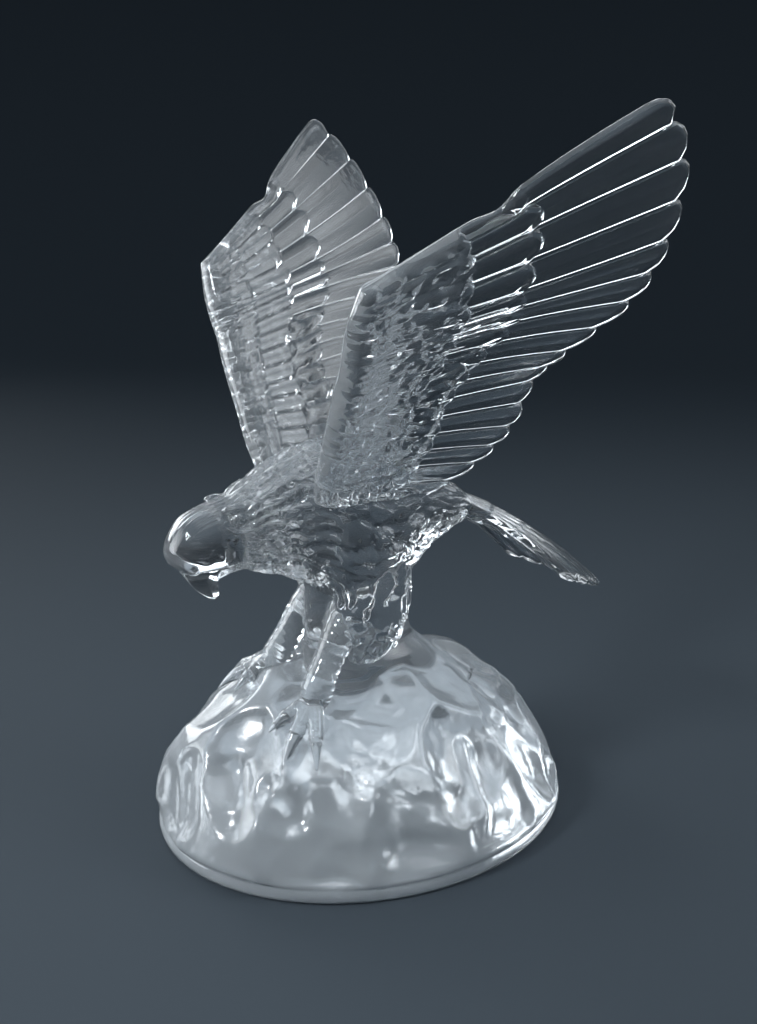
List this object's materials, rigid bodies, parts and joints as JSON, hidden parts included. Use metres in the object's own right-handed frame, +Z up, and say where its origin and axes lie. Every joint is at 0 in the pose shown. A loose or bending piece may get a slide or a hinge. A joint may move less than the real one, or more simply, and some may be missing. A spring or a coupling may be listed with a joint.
{
  "type": "glass eagle figurine",
  "caption": "Pressed clear-glass eagle figurine, wings raised and head lowered, landing on an oval rock base, all in one piece.",
  "frame": {"origin": "on the flat underside of the rock, in the eagle's median plane, below its body", "axes": "+Z up, the eagle faces -Y, its left wing is on the +X side"},
  "size_m": [0.174, 0.1676, 0.2202],
  "materials": {
    "glass": "clear pressed glass, polished, with a slightly satin rock"
  },
  "bodies": {
    "root": {"glass_eagle": "glass"}
  },
  "joints": []
}
